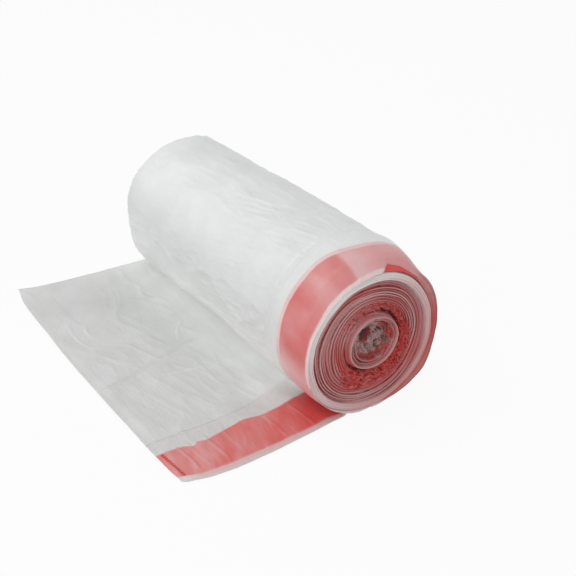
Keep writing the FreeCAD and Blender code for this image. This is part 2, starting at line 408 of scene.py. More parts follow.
@dataclass
class CoreRim:
    """White edge of the wound core: three thin turns of film round the end face."""

    reach_y: float = 50.0
    reach_z: float = 50.6
    centre_y: float = CENTRES[End.MOUTH][0]
    centre_z: float = CENTRES[End.MOUTH][1]
    lowest: float = 2.0
    crest_x: float = 125.0
    width: float = 6.0
    turns: float = 3.0
    # The loose wrap crowds the turns low on the +Y side, at this share of a turn
    crowded_at: float = 0.9
    crowded_by: float = 0.42
    noise: Noise = Noise(31)

    def narrow(self, share: np.ndarray) -> np.ndarray:
        """Share of the rim's width that is left: one less a bell where the turns are crowded."""
        return 1 - self.crowded_by * bell((share - self.crowded_at + 0.5) % 1.0, 0.5, 0.14)

    def edge(self, turn: np.ndarray, inset: np.ndarray) -> tuple[np.ndarray, np.ndarray]:
        """Ellipse of the rim, with the slight flats of hand-laid film.

        Args:
            turn: Angle from +Y towards +Z, in radians.
            inset: Distance inwards from the outer edge, in mm.

        Returns:
            The y and z of the points, in mm.
        """
        share = (turn / (2 * np.pi)) % 1.0
        waver = 0.6 * self.noise.layers(share * 0, share * 13, 3, 13)
        y = self.centre_y + (self.reach_y + waver - inset) * np.cos(turn)
        z = self.centre_z + (self.reach_z + waver - inset) * np.sin(turn)
        return y, np.maximum(z, self.lowest)

    def build(self) -> Object:
        """Make the rim: a tube wall, then a half round with three ridges, then a wall back in.

        Returns:
            The new piece.
        """
        across = np.linspace(0, 1, 31)
        share = np.linspace(0, 1, 440, endpoint=False)
        inset = np.concatenate([[0.0, 0.0], across * self.width, [self.width + 0.5]])
        hump = np.sqrt(np.clip(1 - (2 * across - 1) ** 4, 0, 1))
        ridge = np.abs(np.sin(np.pi * self.turns * across)) ** 0.6
        lift = np.concatenate([[-30.0, -14.0], 2.3 * hump + 0.5 * ridge - 2.8, [-12.0]])
        turn = share[None] * 2 * np.pi
        y, z = self.edge(turn, inset[:, None] * self.narrow(share)[None])
        own = Noise(37).value(inset[:, None] / self.width * self.turns, share[None] * 11, 11)
        x = self.crest_x + lift[:, None] + 1.1 * (own - 0.5) * step(-13, -6, lift)[:, None]
        x = x + 0.5 * self.noise.layers(share * 0 + 4, share * 18, 3, 18)[None]
        points = np.stack([x, y + 0 * x, z + 0 * x], axis=-1)
        part = np.concatenate([[0, 0], ridge, [0]])[:, None]
        # White above, and pinker from the +Y side down to the floor, where the same mask also paints shade;
        # more painted shade lies in some grooves between the turns
        pink_and_shade = 0.5 + 0.5 * np.cos(turn + 1.05)
        tape = 0.07 + 0.2 * pink_and_shade + 0.07 * own + 0.14 * (1 - self.narrow(share)[None])
        gloom = 0.04 + 0.14 * pink_and_shade + 0.3 * (1 - part) * step(0.45, 0.75, own)
        return Surface(points, tape, gloom + 0 * x, ring=True, turned=True).build("core_rim")


@dataclass
class RollFilm:
    """Outside of the roll, with its hem, its rounded shoulder and its loose first wrap."""

    half: float = 125.0
    around: int = 400
    tape_from: float = 98.6
    tape_to: float = 123.0
    notch_from: float = 37.0
    notch_to: float = 87.0
    notch_depth: float = 8.4
    # Places along the roll and the radius at each
    profile: Knots = (
        (-125, -122, -60, 0, 76, 81, 86, 104, 110, 114, 118, 121, 123.5, 125),
        (49.2, 50.3, 52.0, 54.2, 56.0, 56.2, 57.0, 56.9, 56.5, 56.0, 55.0, 53.8, 52.8, 52.0),
    )
    # Height of the loose wrap's middle, and angles round it with the reach at each
    wrap_height: float = 56.0
    wrap_reach: Knots = (
        (-90, -75, -63, -52, -43, -35, -27, -19, -12, 0, 9, 22, 33, 50, 70, 270),
        (56, 56.6, 58.2, 59.5, 60.6, 58.8, 56.3, 54.8, 54.2, 53.6, 53.2, 52.6, 52.0, 51.4, 51, 56),
    )
    lip_rows: int = 8
    # The plain end's edge turns in to a circle of this radius. For each row: the share of the way
    # there, and how far it lies in from the end, in mm
    plain_rim: float = 43.6
    plain_edge: Knots = ((1.0, 3.5), (0.85, 1.0), (0.5, -0.2), (0.28, -0.9), (0.1, -0.9))
    rim: CoreRim = field(default_factory=CoreRim)
    noise: Noise = Noise(11)

    def angles(self) -> np.ndarray:
        """Angles round the roll in degrees, from the floor up the +Y side and over."""
        return np.linspace(-90, 270, self.around, endpoint=False)

    def radius(self, x: np.ndarray) -> np.ndarray:
        """Radius along the roll: a cone, a step up at the hem seal, and a rounded shoulder."""
        return np.interp(x, *self.profile)

    def loose(self, angle: np.ndarray) -> np.ndarray:
        """Share of looseness of the first wrap: one on the side away from the first bag."""
        return step(-89, -76, angle) * fall(34, 60, angle)

    def wrap(self, angle: np.ndarray) -> tuple[np.ndarray, np.ndarray]:
        """Edge of the loose wrap: radii round a fixed middle, smoothed over a few degrees.

        Args:
            angle: Angle from +Y towards +Z, in degrees from -90 to 270.

        Returns:
            The y and z of the points, in mm.
        """
        reach = sum(np.interp(angle + shift, *self.wrap_reach) for shift in (-3, -1, 1, 3)) / 4
        turn = np.radians(angle)
        return reach * np.cos(turn), self.wrap_height + reach * np.sin(turn)

    def notch(self, angle: np.ndarray) -> np.ndarray:
        """How far the thumb notch cuts the edge back: a slow root of the angle, then a quick end."""
        share = np.clip((angle - self.notch_from) / (self.notch_to - self.notch_from), 0, 1)
        return self.notch_depth * share**0.7 * fall(self.notch_to - 12, self.notch_to, angle)

    def folds(self, x: np.ndarray, spin: np.ndarray) -> np.ndarray:
        """Height of the folds: long leaning ones, fine ones between, and puckers at the hem.

        Args:
            x: Distance from the roll's middle, in mm.
            spin: Share of a turn.

        Returns:
            Heights in mm.
        """
        warp = 0.02 * self.noise.layers(x / 50, spin * 6, 2, 6)
        lean = spin + warp + x / 2600
        sweep = self.noise.layers(x / 52 + 3, lean * 9, 3, 9)
        long_folds = Noise(13).creases(x / 42 + 7, lean * 20, 2, 20)
        fine_folds = Noise(17).creases(x / 17 + 3, (spin - x / 1500) * 44, 2, 44)
        slant_folds = Noise(21).creases(x / 30 + 5, (spin + x / 1100) * 66, 2, 66)
        body = 0.8 * sweep + 1.3 * (long_folds**1.5 - 0.3) + 0.6 * (fine_folds**1.5 - 0.3)
        body = body + 0.75 * (slant_folds**1.6 - 0.28) * step(-70, 30, x)
        pucker = Noise(19).layers(x / 9, spin * 60, 3, 60)
        hem = 0.4 * sweep + 0.5 * (long_folds - 0.42) + 0.3 * pucker
        in_hem = step(78, 84, x)
        seal = 0.55 * bell(x, 79.5, 1.3) + 0.4 * bell(x, 84.5, 1.2)
        return mixed(body, hem, in_hem) - seal

    def place(
        self, x: np.ndarray, angle: np.ndarray, rise: np.ndarray
    ) -> tuple[np.ndarray, np.ndarray]:
        """Circle that grows along x and stands on the floor, drawn to the loose wrap at the mouth.

        Args:
            x: Distance from the roll's middle, in mm.
            angle: Angle from +Y towards +Z, in degrees.
            rise: Height over the plain radius, in mm.

        Returns:
            The y and z of the points, in mm.
        """
        turn, centre = np.radians(angle), self.radius(x)
        y, z = (centre + rise) * np.cos(turn), centre + (centre + rise) * np.sin(turn)
        wrap_y, wrap_z = self.wrap(angle)
        share = self.loose(angle) * step(88, 120, x)
        return mixed(y, wrap_y, share), mixed(z, wrap_z, share)

    def skin(self) -> Surface:
        """Outside of the roll: its circles with the folds, the bulge and the loose wrap.

        Returns:
            The surface without its edges.
        """
        along = np.concatenate(
            [np.linspace(-self.half, 75, 140), np.linspace(76, 104, 42), np.linspace(104.6, self.half, 38)]
        )
        x, angle = np.meshgrid(along, self.angles(), indexing="ij")
        spin, loose = (angle + 90) / 360, self.loose(angle)
        ragged = 0.5 * self.noise.layers(x * 0, spin * 24, 3, 24)
        shift = ragged - self.notch(angle) - 2.2 * loose
        # Rows near the mouth move with the edge and still take the shape of where they end
        x = x + shift * step(70, self.half, x)
        rise = self.folds(x, spin)
        rise = rise + 0.45 * Noise(23).layers(x * 0 + 5, spin * 17, 2, 17) * step(100, 122, x)
        # The first bag leaves the plain end a little away from the roll
        rise = rise + 5.6 * bell(angle, 228, 24) * fall(-95, 15, x)
        rise = rise - 1.7 * bell(angle, 189, 22) * fall(-95, -20, x)
        y, z = self.place(x, angle, rise)
        # The film stays above the floor, and above the first bag on its side
        z = np.maximum(z, np.where(y < 0, 1.3, 0.8))
        return Surface(np.stack([x, y, z], axis=-1), *self.tints(x, angle, spin, loose), ring=True)

    def tints(
        self, x: np.ndarray, angle: np.ndarray, spin: np.ndarray, loose: np.ndarray
    ) -> tuple[np.ndarray, np.ndarray, np.ndarray]:
        """Fields of the film: a cloudy red band with a paler margin in the hem, and bells of painted light
        and shade.

        Args:
            x: Distance from the roll's middle, in mm.
            angle: Angle round the roll, in degrees.
            spin: Share of a turn.
            loose: Share of looseness.

        Returns:
            The share of red, the share of shadow and the painted light and shade.
        """
        cloud = Noise(29).layers(x / 24 + 9, spin * 17, 3, 17)
        ragged = 0.5 * Noise(43).layers(x / 60, spin * 26, 3, 26)
        inner = self.tape_from + 7.0 * step(118, 82, angle) * step(20, 70, angle) + ragged
        band = step(-0.4, 0.7, x - inner)
        margin = step(-4.4, -3.0, x - inner) * (1 - band)
        outer = fall(self.tape_to - 0.3, self.tape_to + 0.9, x + 0.5 * ragged)
        # One overlap of two films makes a darker patch high on the near side
        patch = step(104, 107, angle) * fall(120, 128, angle + 0.25 * (x - 110))
        upper = fall(102, 108, angle) * step(20, 50, angle)
        near = step(125, 145, angle) * fall(170, 190, angle)
        depth = 0.45 + 0.14 * cloud + 0.13 * patch + 0.14 * near - 0.13 * upper - 0.05 * loose
        depth = depth - 0.19 * step(174, 194, angle)
        tape = (band * depth + 0.17 * margin) * outer
        tape = tape + 0.07 * step(84, 92, x) * (0.5 + cloud) * (1 - band)
        tape = tape + 0.17 * step(self.tape_to, self.tape_to + 1, x) + 0.16 * loose * step(120, 122, x)
        # The loose wrap is reddest beside the widest part of the rim, with painted shade there and on the
        # loose wrap by the mouth
        beside = bell(angle, -10, 18) * step(112, 121, x)
        gloom = 0.05 * loose * step(110, 122, x) + 0.16 * beside
        # Painted light and shade: darker low on the first bag's side, higher on that side by the hem and a
        # little on top towards the plain end; lighter high on that side towards the plain end and on the
        # belly over most of the roll
        tone = 1 - 0.135 * bell(angle, 169, 20) - 0.06 * bell(angle, 138, 26) * step(40, 90, x)
        tone = tone + 0.05 * bell(angle, 124, 22) * fall(-40, 0, x)
        tone = tone + 0.11 * bell(angle, 208, 12) * step(-90, -40, x)
        return tape + 0.24 * beside, gloom, tone - 0.045 * bell(angle, 80, 15) * bell(x, -55, 35)

    def lip(self, skin: Surface) -> Surface:
        """Edge turned in to the core's rim: a straight blend from edge to rim, bowed outwards.

        Args:
            skin: The outside of the roll.

        Returns:
            The rows that follow the last one.
        """
        angle = self.angles()
        last = skin.points[-1][None]
        away = np.arctan2(last[..., 2] - self.rim.centre_z, last[..., 1] - self.rim.centre_y)
        rim_y, rim_z = self.rim.edge(away, np.full_like(away, 0.4))
        share = np.linspace(0.12, 1.0, self.lip_rows)[:, None]
        y = mixed(last[..., 1], rim_y, share)
        z = mixed(last[..., 2], rim_z, share)
        # Three turns of the loose wrap show as ripples with painted shade as dark stripes between them
        wave, loose = np.sin(share * 3.0 * 2 * np.pi), self.loose(angle)[None]
        x = mixed(last[..., 0], np.minimum(last[..., 0], 122.0), share)
        x = x + 1.5 * np.sin(share * np.pi) + 0.5 * wave * loose
        tape = np.repeat(skin.tape[-1:], self.lip_rows, axis=0)
        tone = np.repeat(skin.tone[-1:], self.lip_rows, axis=0)
        stripes = loose * (0.2 + 0.25 * (wave < -0.3))
        return Surface(np.stack([x, y, z], axis=-1), tape, stripes + 0 * x, tone)

    def build(self) -> Object:
        """Make the skin with its edge at the mouth and its rounded edge at the plain end.

        Returns:
            The new piece.
        """
        skin = self.skin()
        lip = self.lip(skin)
        # At the plain end the edge turns in, down to a circle under the wound turns
        edge, turn = skin.points[:1], np.radians(self.angles())[None]
        circle_y = CENTRES[End.PLAIN][0] + self.plain_rim * np.cos(turn)
        circle_z = CENTRES[End.PLAIN][1] + self.plain_rim * np.sin(turn)
        circle = np.stack([edge[..., 0], circle_y, circle_z], axis=-1)
        rows = []
        for share, inwards in self.plain_edge:
            row = mixed(edge, circle, share)
            row[..., 0] = edge[..., 0] + inwards
            rows.append(row)
        points = np.concatenate(rows + [skin.points, lip.points], axis=0)
        fields = []
        for outside, inside in ((skin.tape, lip.tape), (skin.gloom, lip.gloom), (skin.tone, lip.tone)):
            fields.append(np.concatenate([outside[:1]] * len(rows) + [outside, inside], axis=0))
        return Surface(points, *fields, ring=True, turned=True).build("roll_film")


@dataclass
class NotchTape:
    """Stretch of the first bag's tape that lies bare in the thumb notch."""

    roll: RollFilm
    start_deg: float = 34.0
    stop_deg: float = 92.0
    # From where it comes out from under the film to where it goes in at the rim, along the axis
    start_x: float = 111.5
    stop_x: float = 123.6
    # Where the film's own outline is taken, and how far under it the tape starts
    film_x: float = 112.0
    under: float = 0.7
    noise: Noise = Noise(91)

    def build(self) -> Object:
        """Strip from under the notch's edge to the rim: a straight blend with lengthwise folds.

        Returns:
            The new piece.
        """
        angles = np.linspace(self.start_deg, self.stop_deg, 120)
        share, angle = np.meshgrid(np.linspace(0, 1, 46), angles, indexing="ij")
        turn = np.radians(angle)
        film_x, rise = np.full_like(angle, self.film_x), np.full_like(angle, -self.under)
        y, z = self.roll.place(film_x, angle, rise)
        y, z = y - 0.5 * np.cos(turn), z - 0.5 * np.sin(turn)
        away = np.arctan2(z - self.roll.rim.centre_z, y - self.roll.rim.centre_y)
        rim_y, rim_z = self.roll.rim.edge(away, np.full_like(away, -0.6))
        ends = step(self.start_deg, self.start_deg + 6, angle)
        ends = ends * fall(self.stop_deg - 6, self.stop_deg, angle)
        folds = self.noise.creases(share * 3.2 + angle / 40, angle / 19, 2)
        rise = 0.9 * np.sin(share * np.pi) * ends + 0.8 * (folds - 0.4) * ends - 1.5 * (1 - ends)
        y = mixed(y, rim_y, share) + rise * np.cos(turn)
        z = mixed(z, rim_z, share) + rise * np.sin(turn)
        x = mixed(self.start_x, self.stop_x, share) + 0.5 * (folds - 0.4)
        tape = 0.84 + 0.28 * (folds - 0.4)
        # Painted shade in the hollows between the folds
        gloom = 0.3 * fall(0.08, 0.36, folds)
        surface = Surface(np.stack([x, y, z], axis=-1), tape, gloom, turned=True)
        return surface.build("notch_tape")


@dataclass
class EndTurns:
    """End face of the wound roll: thin turns, crumpled tape, a pale ring and the middle hole."""

    end: End
    outer: float = 48.0
    base_x: float = 120.8
    lowest: float = 2.2
    # The plain end is a little smaller, and lies further out
    plain_scale: float = 0.94
    plain_out: float = 1.5
    # Radius of the pale ring, and how far the turns inside it lie off the rim's centre
    ring_shift: tuple[float, float] = (3.2, -0.6)
    ring_at: float = 18.6
    pitch: float = 1.62
    # The hole's middle and half widths, as y and z
    hole: tuple[float, float] = (-1.2, 4.4)
    hole_half: tuple[float, float] = (4.6, 5.8)
    noise: Noise = Noise(51)

    def grid(self) -> tuple[np.ndarray, np.ndarray, np.ndarray, np.ndarray]:
        """Polar grid whose middle drifts from the rim's centre to the ring's.

        Returns:
            Distance from the middle, share of a turn, and y and z from the rim's centre.
        """
        # Finer at the mouth, whose turns the camera sees
        inner, outer, around = (96, 130, 420) if self.end is End.MOUTH else (60, 100, 300)
        reach = np.concatenate([np.linspace(0.4, 22, inner), np.linspace(22.25, self.outer, outer)])
        turns = np.linspace(0, 1, around, endpoint=False)
        rho, share = np.meshgrid(reach, turns, indexing="ij")
        drift = fall(16, 44, rho)
        y = rho * np.cos(share * 2 * np.pi) + self.ring_shift[0] * drift
        z = rho * np.sin(share * 2 * np.pi) + self.ring_shift[1] * drift
        return rho, share, y, z

    def turns(self, rho: np.ndarray, share: np.ndarray) -> tuple[np.ndarray, ...]:
        """Spiral of ridges: a rounded sine over the radius less the share of a turn.

        Args:
            rho: Distance from the middle, in mm.
            share: Share of a turn.

        Returns:
            Height in mm, share of red and share of shadow.
        """
        wander = 1.5 * self.noise.layers(rho / 15, share * 6, 4, 6)
        phase = (rho + wander) / self.pitch - share
        number = np.floor(phase)
        part = phase - number
        # Counted along the spiral, so that each turn runs on into the next
        along = number + share
        own = Noise(61).value(along * 7, along * 0)
        drop = Noise(67).value(along * 5 + 40, along * 0)
        thin = Noise(71).value(along * 11 + 80, along * 0)
        ridge = np.sin(np.pi * part) ** 0.6
        second = np.abs(np.sin(np.pi * (2 * part + 0.1)))
        broad = Noise(107).layers(rho / 9, share * 6, 2, 6)
        height = ridge * (0.8 + 1.2 * own) + 1.9 * (drop - 0.5) + 0.5 * second * thin + 0.7 * broad
        tape = 0.42 + 0.38 * own - 0.14 * ridge + 0.12 * (1 - second) + 0.12 * broad
        tape = tape - 0.08 * np.sin(share * 2 * np.pi)
        # Painted highlight: the crests of turns that stand high are paler
        crest = step(0.8, 0.98, ridge) * step(0.5, 0.85, drop)
        tape = tape * (1 - 0.55 * crest)
        # Painted shade in the gaps between the turns, most where a turn stands high, and in the dips of the
        # thin second ridges
        gloom = 0.14 + fall(0.1, 0.7, ridge) * (0.06 + 0.8 * step(0.25, 0.9, drop))
        gloom = gloom + 0.16 * (1 - second) * thin
        return height, tape, gloom

    def crumple(self, rho: np.ndarray, share: np.ndarray, fields: tuple) -> tuple[np.ndarray, ...]:
        """Bright tape squashed between the turns: ridged noise, strongest below the ring.

        Args:
            rho: Distance from the middle, in mm.
            share: Share of a turn.
            fields: Height, share of red and share of shadow.

        Returns:
            The three fields with the crumpled ring added.
        """
        turn = share * 2 * np.pi
        lower = step(-0.1, 0.8, -np.sin(turn - 0.35))
        side = 0.75 * step(0.25, 0.95, np.cos(turn - 0.35))
        upper = 0.45 * step(0.55, 0.95, np.sin(turn - 0.3))
        where = np.clip(lower + side + upper, 0, 1)
        zone = step(19.6, 21.5, rho) * fall(26 + 7 * lower, 30 + 8 * lower, rho) * where
        bent = share * 52 + 0.9 * self.noise.layers(rho / 5, share * 20, 2, 20)
        folds = Noise(73).creases(rho / 1.6 + 3 + 0.7 * np.sin(share * 38 * np.pi), bent, 2, 52)
        # Red tape on the raised folds, painted highlights (glint) on the sharpest crests and painted shade in
        # the hollows
        bright = step(0.2, 0.5, folds)
        glint = step(0.7, 0.88, folds)
        height, tape, gloom = fields
        height = mixed(height, 6.0 * folds - 2.8, 0.9 * zone)
        tape = mixed(tape, 0.6 + 0.3 * bright - 0.42 * glint, zone)
        gloom = mixed(gloom, fall(0.1, 0.36, folds) * 0.85, zone)
        # A groove outside the pale ring: sunk, with painted shade in it
        gap = bell(rho - self.ring_at, 3.1, 1.1) * (0.25 + 0.75 * np.clip(lower + side, 0, 1))
        return height - 4.0 * gap, tape, mixed(gloom, 0.85, 0.85 * gap)

    def middle(
        self, rho: np.ndarray, share: np.ndarray, y: np.ndarray, z: np.ndarray, fields: tuple
    ) -> tuple[np.ndarray, ...]:
        """Pale ring of bells, with a sunken crumpled core and a hole off its centre inside it.

        Args:
            rho: Distance from the middle, in mm.
            share: Share of a turn.
            y: Sideways distance from the rim's centre, in mm.
            z: Upright distance from the rim's centre, in mm.
            fields: Height, share of red and share of shadow.

        Returns:
            The three fields with the middle added.
        """
        red_end = 1.0 if self.end is End.MOUTH else 0.0
        turn = share * 2 * np.pi
        from_ring = rho - self.ring_at - 0.8 * self.noise.layers(rho * 0, share * 7, 2, 7)
        inside = fall(-2.2, -0.8, from_ring)
        bent = 0.6 * self.noise.layers(y / 7, z / 7, 2)
        folds = Noise(79).creases(y / 4.6 + 11 + bent, z / 4.6 + 3 - bent, 3)
        wound = np.sin(np.pi * ((rho + 1.4 * bent) / 2.3 - share)) ** 2
        core = 3.6 * folds + 1.3 * wound - 5.6 + 2.2 * step(3, 15, rho)
        warm = step(10.5, 13.5, rho + 2.0 * folds) * step(-0.75, 0.35, -np.sin(turn - 0.75))
        core_red = 0.12 + 0.2 * wound + red_end * 0.7 * warm * step(0.2, 0.55, folds)
        # Painted shade in the sunken core, darkest in its hollows and between its wound turns
        sunk = 0.24 + 0.55 * fall(0.12, 0.5, folds) + 0.2 * (1 - wound)
        tint, shade = core_red * (0.4 + 0.6 * red_end), sunk * (0.3 + 0.7 * red_end)
        fields = blend(fields, (core, tint, shade), inside)
        # Two ridges all the way round, and a third below
        below = step(-0.2, 0.7, -np.sin(turn + 0.5))
        ring = bell(from_ring, 0.2, 1.0) + 0.7 * bell(from_ring, -2.3, 0.8)
        ring = np.clip(ring + 0.8 * below * bell(from_ring, -4.5, 0.8), 0, 1)
        height, tape, gloom = blend(fields, (4.2, 0.3 * red_end, 0.06), ring)
        hole_y, hole_z = y - self.hole[0], z - self.hole[1]
        far = np.hypot(hole_y / self.hole_half[0], hole_z / self.hole_half[1])
        far = far + 0.18 * self.noise.layers(y / 4, z / 4, 2)
        height = mixed(height, -24.0, fall(0.78, 1.05, far))
        # Painted shade darkens the wall from its very edge; where it faces the light, painted light lessens
        # the shade and shows the wall red
        wall = fall(1.16, 1.3, far)
        lit = red_end * bell(far, 1.1, 0.09) * step(-0.3, 0.5, hole_y / 6 - hole_z / 6)
        tape = mixed(tape, 0.3 * red_end + 0.55 * lit, wall)
        gloom = mixed(gloom, 0.45 + (0.12 - 0.3 * lit) * red_end, wall)
        return height, tape, gloom

    def build(self) -> Object:
        """Make the end face as a height over the polar grid.

        Returns:
            The new piece.
        """
        rho, share, y, z = self.grid()
        fields = self.turns(rho, share)
        mouth = self.end is End.MOUTH
        if mouth:
            fields = self.crumple(rho, share, fields)
        else:
            # No tape, and shallower shade
            fields = (fields[0], 0 * fields[1], 0.3 * fields[2])
        height, tape, gloom = self.middle(rho, share, y, z, fields)
        scale = 1.0 if mouth else self.plain_scale
        x = self.base_x + height if mouth else -self.base_x - self.plain_out - height
        y, z = CENTRES[self.end][0] + y * scale, CENTRES[self.end][1] + z * scale
        points = np.stack([x, y, np.maximum(z, self.lowest)], axis=-1)
        surface = Surface(points, tape, gloom, ring=True, pole=True, turned=not mouth)
        return surface.build(f"{self.end.value}_turns")


@dataclass
class FirstBag:
    """First bag, laid flat on the floor: two panels of film with a tape in the hem."""

    thick: float = 0.5
    rows: int = 140
    curve_rows: int = 36
    columns: int = 250
    lowest: float = 0.75
    highest: float = 3.2
    noise: Noise = Noise(83)
    # Where the bag meets the roll's underside, along the axis
    root: tuple[float, float] = (-129.5, 122.7)
    # The other edges, as knots of x and of y in mm
    free_edge: Knots = (
        (-142.6, -124, -108, -77, -48, -19, 36, 87, 111, 122.6),
        (-135.4, -139.9, -141.2, -142.4, -144.3, -145.3, -146.1, -146.2, -145.5, -144.4),
    )
    back_edge: Knots = (
        (-142.6, -137.6, -135.7, -133.8, -132, -131, -130),
        (-135.4, -120, -104, -88, -72, -54, -37),
    )
    hem_edge: Knots = (
        (122.6, 124.9, 126.9, 128.8, 129.7, 130.2, 130.2, 129.2, 127.4, 125.6, 123),
        (-144.4, -141, -133, -126, -118, -109, -100, -82, -62, -43, -22),
    )
    # Folds across the tape, each with its place across the bag in mm and its size
    tape_folds: Knots = (
        (-130.0, 1.0), (-123.0, 0.5), (-110.0, 1.0), (-97.0, 0.4), (-66.0, 0.5), (-45.0, 0.8),
    )
    # Sharp folds, raised and given a painted highlight, each as a bent line of x and y in mm
    sharp: tuple[Knots, ...] = (
        ((-78, -127), (-64, -129), (-49, -128), (-38, -124), (-33, -117)),
        ((-72, -115), (-61, -119), (-51, -119)),
        ((-36, -55), (-25, -64), (-12, -70)),
        ((16, -100), (21, -86), (23, -75), (23, -65)),
        ((83, -103), (93, -108)),
    )

    def roll_radius(self, x: np.ndarray) -> np.ndarray:
        """Radius of the roll that stands over the bag: a straight line along the axis."""
        return np.interp(x, [-125, 80], [50, 56])

    def bend(self, x: np.ndarray) -> tuple[np.ndarray, np.ndarray]:
        """Radius of the curve up to the roll, and where it starts: minus twice the root of both radii.

        Args:
            x: Place along the roll's axis, in mm.

        Returns:
            Radius and starting place across the roll, in mm.
        """
        radius = np.interp(x, [-129, -121, -106, 20, 70, 92, 125], [3.0, 7.5, 9.5, 9.0, 6.5, 3.0, 2.0])
        return radius, -2 * np.sqrt(radius * self.roll_radius(x))

    def outline(self) -> tuple[np.ndarray, np.ndarray]:
        """Patch between four edges: both pairs of edges blended and added, less the corners.

        Returns:
            The x and y of each point, rows from the free edge to the roll, columns along +X.
        """
        u, v = np.linspace(0, 1, self.rows)[:, None], np.linspace(0, 1, self.columns)[None]
        free_x = mixed(self.free_edge[0][0], self.free_edge[0][-1], v)
        free_y = np.interp(free_x, *self.free_edge)
        root_x = mixed(*self.root, v)
        root_y = self.bend(root_x)[1]
        back_y = mixed(free_y[:, :1], root_y[:, :1], u)
        back_x = np.interp(back_y, *self.back_edge[::-1])
        hem_y = mixed(free_y[:, -1:], root_y[:, -1:], u)
        hem_x = np.interp(hem_y, *self.hem_edge[::-1])
        parts = []
        for free, root, back, hem in ((free_x, root_x, back_x, hem_x), (free_y, root_y, back_y, hem_y)):
            corners = mixed(mixed(free[:, :1], free[:, -1:], v), mixed(root[:, :1], root[:, -1:], v), u)
            parts.append(mixed(free, root, u) + mixed(back, hem, v) - corners)
        return parts[0], parts[1]

    def seal(self, y: np.ndarray) -> np.ndarray:
        """Place of the hem's seal along the axis: straight lines between knots across the bag."""
        return np.interp(y, [-145, -87, -71, -44, -30], [79.4, 80.2, 79.0, 71.5, 68.0])

    def ribs(self, x: np.ndarray, y: np.ndarray) -> np.ndarray:
        """Fine folds across the hem, from 0 to 1: creases that lean by a quarter."""
        return Noise(97).creases(x / 42 + y / 60, (y + 0.25 * x) / 11 + 2, 3)

    def height(self, x: np.ndarray, y: np.ndarray) -> np.ndarray:
        """Height of the top: soft leaning folds, a seal line and a fuller hem.

        Args:
            x: Place along the roll's axis, in mm.
            y: Place across it, in mm.

        Returns:
            Heights above the floor, in mm.
        """
        warp = 1.1 * self.noise.layers(x / 55, y / 45, 3)
        broad = self.noise.layers(x / 90 + y / 90 + warp, y / 40 - x / 140, 2)
        long_folds = Noise(87).creases(x / 75 + y / 70 + 5, y / 24 - x / 90 + 8 + warp, 2) ** 1.6
        short_folds = Noise(89).creases(x / 34 + 2 + warp, y / 15 - x / 60, 2) ** 1.6
        from_seal = x - self.seal(y)
        hem = step(-0.6, 1.9, from_seal)
        z = 1.5 + 0.6 * broad + 1.35 * (long_folds - 0.28) * (1 - 0.6 * hem)
        z = z + 0.6 * (short_folds - 0.28) * (1 - 0.3 * hem)
        z = z + 0.6 * hem * (self.ribs(x, y) - 0.4) + 0.35 * hem + 0.6 * self.pleats(x, y)
        z = z - 0.7 * bell(from_seal, 0.0, 0.8) - 0.35 * bell(from_seal, 5.4, 1.3)
        z = z + 0.9 * self.middle(x, y) + 0.6 * self.glints(x, y)
        z = np.clip(z, self.lowest, self.highest)
        z = mixed(self.lowest, z, 0.35 + 0.65 * step(-144, -138, y))
        return mixed(z, 0.9, step(-14, -1, y - self.bend(x)[1]))

    def middle(self, x: np.ndarray, y: np.ndarray) -> np.ndarray:
        """Fold down the bag's middle, left by the folded web: a narrow bell that fades at the roll.

        Args:
            x: Place along the roll's axis, in mm.
            y: Place across it, in mm.

        Returns:
            Values from 0 to 1, with 1 on the fold.
        """
        line = np.interp(y, [-141, -125, -107, -71, -37], [11, 8, 3, -8, -11])
        across = x - line - 0.8 * self.noise.layers(y / 26, x * 0 + 7, 2)
        return bell(across, 0.0, 1.0) * step(-147, -138, y) * fall(-70, -42, y)

    def glints(self, x: np.ndarray, y: np.ndarray) -> np.ndarray:
        """Sharp folds: a narrow bell of the distance from each bent line, tapered to its ends.

        Args:
            x: Place along the roll's axis, in mm.
            y: Place across it, in mm.

        Returns:
            Values from 0 to 1, with 1 halfway along the lines.
        """
        total = np.zeros_like(x)
        along = x + self.noise.layers(x / 7, y / 7, 2)
        across = y + self.noise.layers(y / 7 + 40, x / 7, 2)
        for line in self.sharp:
            for k, ((x0, y0), (x1, y1)) in enumerate(zip(line, line[1:])):
                gone = (along - x0) * (x1 - x0) + (across - y0) * (y1 - y0)
                gone = np.clip(gone / ((x1 - x0) ** 2 + (y1 - y0) ** 2), 0, 1)
                away = np.hypot(along - mixed(x0, x1, gone), across - mixed(y0, y1, gone))
                taper = np.clip(np.sin(np.pi * (k + gone) / (len(line) - 1)), 0, 1) ** 0.8
                total = np.maximum(total, bell(away, 0.0, 0.75) * taper)
        return total

    def pleats(self, x: np.ndarray, y: np.ndarray) -> np.ndarray:
        """Sharp folds across the tape: a narrow bell with a broad low one beside it, for each fold.

        Args:
            x: Place along the roll's axis, in mm.
            y: Place across it, in mm.

        Returns:
            Heights from about -0.4 to 1.
        """
        total = np.zeros_like(x)
        for place, size in self.tape_folds:
            across = y - place - 0.06 * (x - 108) - 0.8 * self.noise.layers(x / 9, x * 0 + place, 2)
            total = total + size * (bell(across, 0.0, 0.8) - 0.45 * bell(across, 1.9, 1.1))
        return total * step(90, 94, x) * fall(116, 124, x)

    def tint(self, x: np.ndarray, y: np.ndarray) -> np.ndarray:
        """Red of the tape in the hem: deepest by the roll, partly as painted shade under the roll, paler past
        the weld, pink beside it.

        Args:
            x: Place along the roll's axis, in mm.
            y: Place across it, in mm.

        Returns:
            The share of red.
        """
        ragged = 0.5 * Noise(101).layers(y / 9, x / 300, 3)
